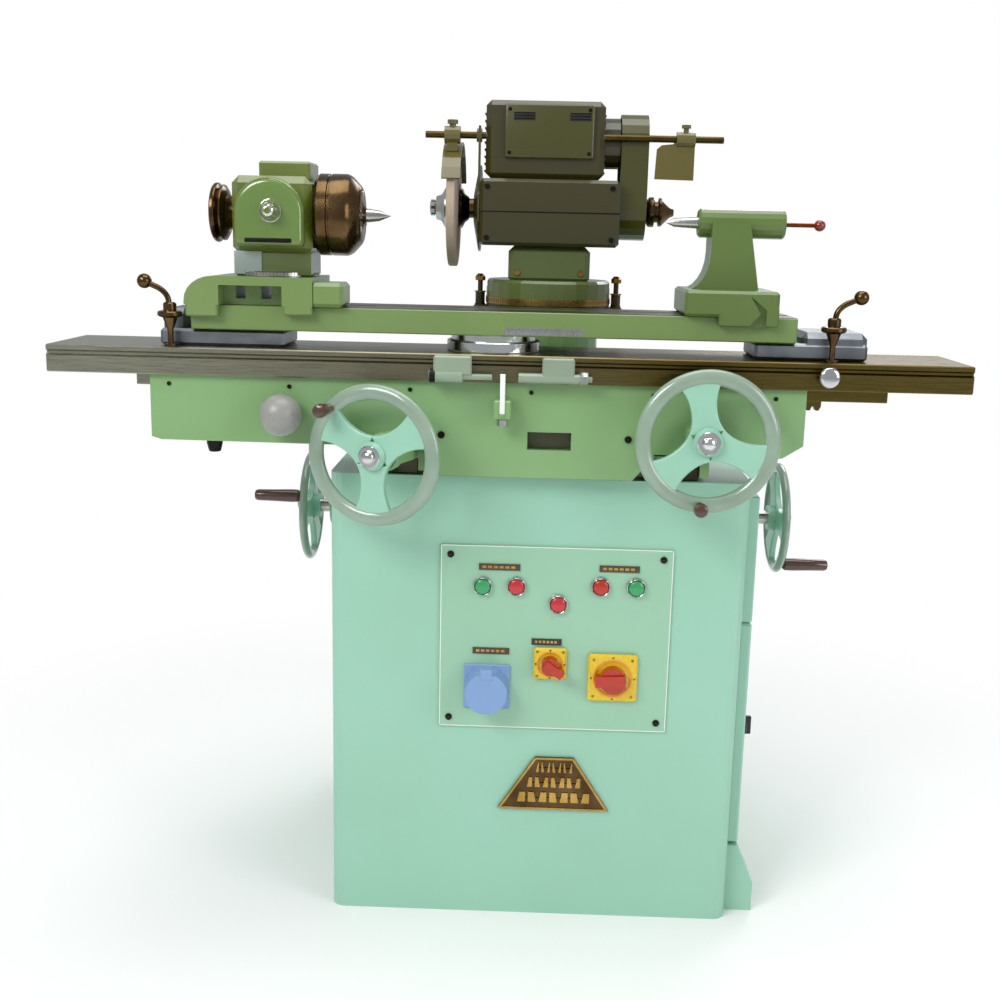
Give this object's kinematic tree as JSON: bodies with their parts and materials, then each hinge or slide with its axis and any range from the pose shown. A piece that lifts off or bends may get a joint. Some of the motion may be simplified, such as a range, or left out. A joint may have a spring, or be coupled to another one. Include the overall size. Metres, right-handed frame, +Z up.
{
  "type": "tool and cutter grinder",
  "caption": "Floor-standing universal tool and cutter grinder: cabinet base, cross saddle, sliding and swivelling table, workhead, tailstock and swivelling wheelhead on a lifting column.",
  "frame": {"origin": "centre of the cabinet's footprint at floor level", "axes": "+X to the operator's right along the table, +Y from the operator to the back, +Z up"},
  "size_m": [1.272, 0.7134, 1.217],
  "materials": {
    "mint_paint": "satin",
    "green_paint": "satin",
    "olive_paint": "satin",
    "ground_iron": "satin",
    "cast_grey": "matte",
    "bright_steel": "satin",
    "bronze_metal": "satin",
    "brown_plastic": "gloss",
    "grey_plastic": "gloss",
    "black_plastic": "matte",
    "belt_rubber": "matte",
    "yellow_plastic": "gloss",
    "red_plastic": "gloss",
    "green_plastic": "gloss",
    "blue_plastic": "matte",
    "grit_stone": "matte"
  },
  "bodies": {
    "base": {"base_cabinet": "mint_paint", "base_ways": "ground_iron", "column_housing": "green_paint", "screw_bracket": "cast_grey", "contactor_board": "grey_plastic", "switch_panel": "mint_paint", "name_plate": "bronze_metal", "small_switch_plate": "yellow_plastic", "main_switch_plate": "yellow_plastic", "socket_body": "blue_plastic"},
    "side_door": {"side_door": "mint_paint"},
    "door_latch": {"door_latch": "black_plastic"},
    "button_start_green_left": {"button_start_green_left": "green_plastic"},
    "button_stop_red_left": {"button_stop_red_left": "red_plastic"},
    "button_stop_red_centre": {"button_stop_red_centre": "red_plastic"},
    "button_stop_red_right": {"button_stop_red_right": "red_plastic"},
    "button_start_green_right": {"button_start_green_right": "green_plastic"},
    "small_switch_knob": {"small_switch_knob": "red_plastic"},
    "main_switch_knob": {"main_switch_knob": "red_plastic"},
    "socket_lid": {"socket_lid": "blue_plastic"},
    "cross_shaft": {"cross_shaft": "bright_steel", "side_handwheel_left": "mint_paint", "side_handwheel_right": "mint_paint"},
    "side_grip_left": {"side_grip_left": "brown_plastic"},
    "side_grip_right": {"side_grip_right": "brown_plastic"},
    "elevating_screw": {"elevating_screw": "bright_steel"},
    "column_ram": {"column_ram": "ground_iron"},
    "saddle": {"saddle": "green_paint"},
    "stop_plunger": {"stop_plunger": "bright_steel"},
    "table_lock": {"table_lock_knob": "grey_plastic"},
    "traverse_wheel": {"traverse_handwheel": "mint_paint"},
    "traverse_grip": {"traverse_grip": "brown_plastic"},
    "cross_wheel": {"cross_handwheel": "mint_paint"},
    "cross_grip": {"cross_grip": "brown_plastic"},
    "table": {"lower_table": "ground_iron", "trip_dog_left": "green_paint", "trip_dog_right": "green_paint", "end_pad_left": "ground_iron", "end_pad_right": "ground_iron"},
    "index_plunger": {"index_plunger": "bright_steel"},
    "clamp_lever_left": {"clamp_lever_left": "bronze_metal"},
    "clamp_lever_right": {"clamp_lever_right": "bronze_metal"},
    "swivel_table": {"swivel_table": "green_paint"},
    "workhead_slide": {"workhead_base": "green_paint"},
    "workhead_swivel": {"workhead_body": "green_paint"},
    "work_spindle": {"work_spindle": "bronze_metal"},
    "tailstock": {"tailstock_body": "green_paint"},
    "tailstock_quill": {"tailstock_quill": "bright_steel"},
    "wheelhead": {"swivel_base": "green_paint", "wheelhead_body": "olive_paint", "motor_case": "olive_paint", "belt_cover": "olive_paint", "drive_belt": "belt_rubber", "wheel_guard": "green_paint", "dish_guard": "green_paint", "flag_guard": "green_paint"},
    "motor_rotor": {"motor_rotor": "bright_steel"},
    "spindle": {"wheel_spindle": "bright_steel", "grinding_wheel": "grit_stone", "wheel_flange": "bright_steel"}
  },
  "joints": [
    {"name": "door_hinge", "type": "hinge", "parent": "base", "child": "side_door", "pos_m": [0.3114, 0.241, 0.286], "axis": [0, 0, 1], "range_deg": [0, 110]},
    {"name": "door_latch_turn", "type": "hinge", "parent": "side_door", "child": "door_latch", "pos_m": [0.2994, -0.19, 0.286], "axis": [1, 0, 0], "range_deg": [0, 90]},
    {"name": "push_start_green_left", "type": "slide", "parent": "base", "child": "button_start_green_left", "axis": [0, 1, 0], "range_m": [0, 0.004], "stiffness_N_per_m": 400, "springref_m": -0.001},
    {"name": "push_stop_red_left", "type": "slide", "parent": "base", "child": "button_stop_red_left", "axis": [0, 1, 0], "range_m": [0, 0.004], "stiffness_N_per_m": 400, "springref_m": -0.001},
    {"name": "push_stop_red_centre", "type": "slide", "parent": "base", "child": "button_stop_red_centre", "axis": [0, 1, 0], "range_m": [0, 0.004], "stiffness_N_per_m": 400, "springref_m": -0.001},
    {"name": "push_stop_red_right", "type": "slide", "parent": "base", "child": "button_stop_red_right", "axis": [0, 1, 0], "range_m": [0, 0.004], "stiffness_N_per_m": 400, "springref_m": -0.001},
    {"name": "push_start_green_right", "type": "slide", "parent": "base", "child": "button_start_green_right", "axis": [0, 1, 0], "range_m": [0, 0.004], "stiffness_N_per_m": 400, "springref_m": -0.001},
    {"name": "small_switch_turn", "type": "hinge", "parent": "base", "child": "small_switch_knob", "pos_m": [0.022, -0.2814, 0.406], "axis": [0, 1, 0], "range_deg": [-90, 90]},
    {"name": "main_switch_turn", "type": "hinge", "parent": "base", "child": "main_switch_knob", "pos_m": [0.114, -0.2814, 0.387], "axis": [0, 1, 0], "range_deg": [0, 90]},
    {"name": "socket_lid_hinge", "type": "hinge", "parent": "base", "child": "socket_lid", "pos_m": [-0.07, -0.3078, 0.4], "axis": [-1, 0, 0], "range_deg": [0, 100]},
    {"name": "elevating_turn", "type": "hinge", "parent": "base", "child": "cross_shaft", "pos_m": [0.005, 0, 0.573], "axis": [1, 0, 0], "range_deg": [-1440, 7200]},
    {"name": "side_grip_left_spin", "type": "hinge", "parent": "cross_shaft", "child": "side_grip_left", "pos_m": [-0.3822, -0.075, 0.603], "axis": [1, 0, 0], "continuous": true},
    {"name": "side_grip_right_spin", "type": "hinge", "parent": "cross_shaft", "child": "side_grip_right", "pos_m": [0.3982, -0.045, 0.506], "axis": [1, 0, 0], "continuous": true},
    {"name": "elevating_screw_turn", "type": "hinge", "parent": "base", "child": "elevating_screw", "pos_m": [0.005, 0, 0.573], "axis": [0, 0, 1], "range_deg": [-7200, 1440]},
    {"name": "ram_lift", "type": "slide", "parent": "base", "child": "column_ram", "axis": [0, 0, 1], "range_m": [-0.02, 0.1]},
    {"name": "saddle_cross", "type": "slide", "parent": "base", "child": "saddle", "axis": [0, 1, 0], "range_m": [-0.03, 0.03]},
    {"name": "stop_plunger_lift", "type": "slide", "parent": "saddle", "child": "stop_plunger", "axis": [0, 0, 1], "range_m": [-0.014, 0]},
    {"name": "table_lock_turn", "type": "hinge", "parent": "saddle", "child": "table_lock", "pos_m": [-0.359, -0.3, 0.77], "axis": [0, 1, 0], "range_deg": [0, 90]},
    {"name": "cross_wheel_turn", "type": "hinge", "parent": "saddle", "child": "cross_wheel", "pos_m": [-0.228, -0.352, 0.721], "axis": [0.309, 0.9511, 0], "range_deg": [-2160, 2160]},
    {"name": "traverse_wheel_turn", "type": "hinge", "parent": "saddle", "child": "traverse_wheel", "pos_m": [0.223, -0.352, 0.752], "axis": [0, 1, 0], "range_deg": [-344, 344]},
    {"name": "traverse_grip_spin", "type": "hinge", "parent": "traverse_wheel", "child": "traverse_grip", "pos_m": [0.2139, -0.3594, 0.6655], "axis": [0, 1, 0], "continuous": true},
    {"name": "cross_grip_spin", "type": "hinge", "parent": "cross_wheel", "child": "cross_grip", "pos_m": [-0.2888, -0.34, 0.7825], "axis": [0.309, 0.9511, 0], "continuous": true},
    {"name": "table_traverse", "type": "slide", "parent": "saddle", "child": "table", "axis": [1, 0, 0], "range_m": [-0.18, 0.18]},
    {"name": "index_plunger_pull", "type": "slide", "parent": "table", "child": "index_plunger", "axis": [0, -1, 0], "range_m": [0, 0.008], "stiffness_N_per_m": 300, "springref_m": -0.001},
    {"name": "clamp_left_turn", "type": "hinge", "parent": "table", "child": "clamp_lever_left", "pos_m": [-0.516, -0.299, 0.8574], "axis": [0, 0, 1], "range_deg": [-40, 40]},
    {"name": "clamp_right_turn", "type": "hinge", "parent": "table", "child": "clamp_lever_right", "pos_m": [0.392, -0.299, 0.8574], "axis": [0, 0, 1], "range_deg": [-40, 40]},
    {"name": "table_swivel", "type": "hinge", "parent": "table", "child": "swivel_table", "pos_m": [-0.072, -0.23, 0.8574], "axis": [0, 0, 1], "range_deg": [-5, 5]},
    {"name": "workhead_slide_along", "type": "slide", "parent": "swivel_table", "child": "workhead_slide", "axis": [1, 0, 0], "range_m": [0, 0.04]},
    {"name": "workhead_swivel_turn", "type": "hinge", "parent": "workhead_slide", "child": "workhead_swivel", "pos_m": [-0.38, -0.228, 0.9158], "axis": [0, 0, 1], "range_deg": [-90, 90]},
    {"name": "work_spindle_turn", "type": "hinge", "parent": "workhead_swivel", "child": "work_spindle", "pos_m": [-0.38, -0.228, 1.0404], "axis": [1, 0, 0], "continuous": true},
    {"name": "tailstock_slide_along", "type": "slide", "parent": "swivel_table", "child": "tailstock", "axis": [1, 0, 0], "range_m": [-0.1, 0.02]},
    {"name": "quill_push", "type": "slide", "parent": "tailstock", "child": "tailstock_quill", "axis": [1, 0, 0], "range_m": [0, 0.012], "stiffness_N_per_m": 800, "springref_m": -0.001},
    {"name": "wheelhead_swivel", "type": "hinge", "parent": "column_ram", "child": "wheelhead", "pos_m": [0.005, 0, 0.912], "axis": [0, 0, 1], "range_deg": [-30, 30]},
    {"name": "motor_turn", "type": "hinge", "parent": "wheelhead", "child": "motor_rotor", "pos_m": [0, 0, 1.16], "axis": [1, 0, 0], "continuous": true},
    {"name": "spindle_turn", "type": "hinge", "parent": "wheelhead", "child": "spindle", "pos_m": [0, 0, 1.058], "axis": [1, 0, 0], "continuous": true}
  ],
  "couplings": [
    {"joint": "elevating_screw_turn", "follows": "elevating_turn", "ratio": -1},
    {"joint": "ram_lift", "follows": "elevating_turn", "m_per_rad": 0.00079577},
    {"joint": "cross_wheel_turn", "follows": "saddle_cross", "rad_per_m": 1256.6},
    {"joint": "traverse_wheel_turn", "follows": "table_traverse", "rad_per_m": 33.333},
    {"joint": "spindle_turn", "follows": "motor_turn", "ratio": 1}
  ]
}
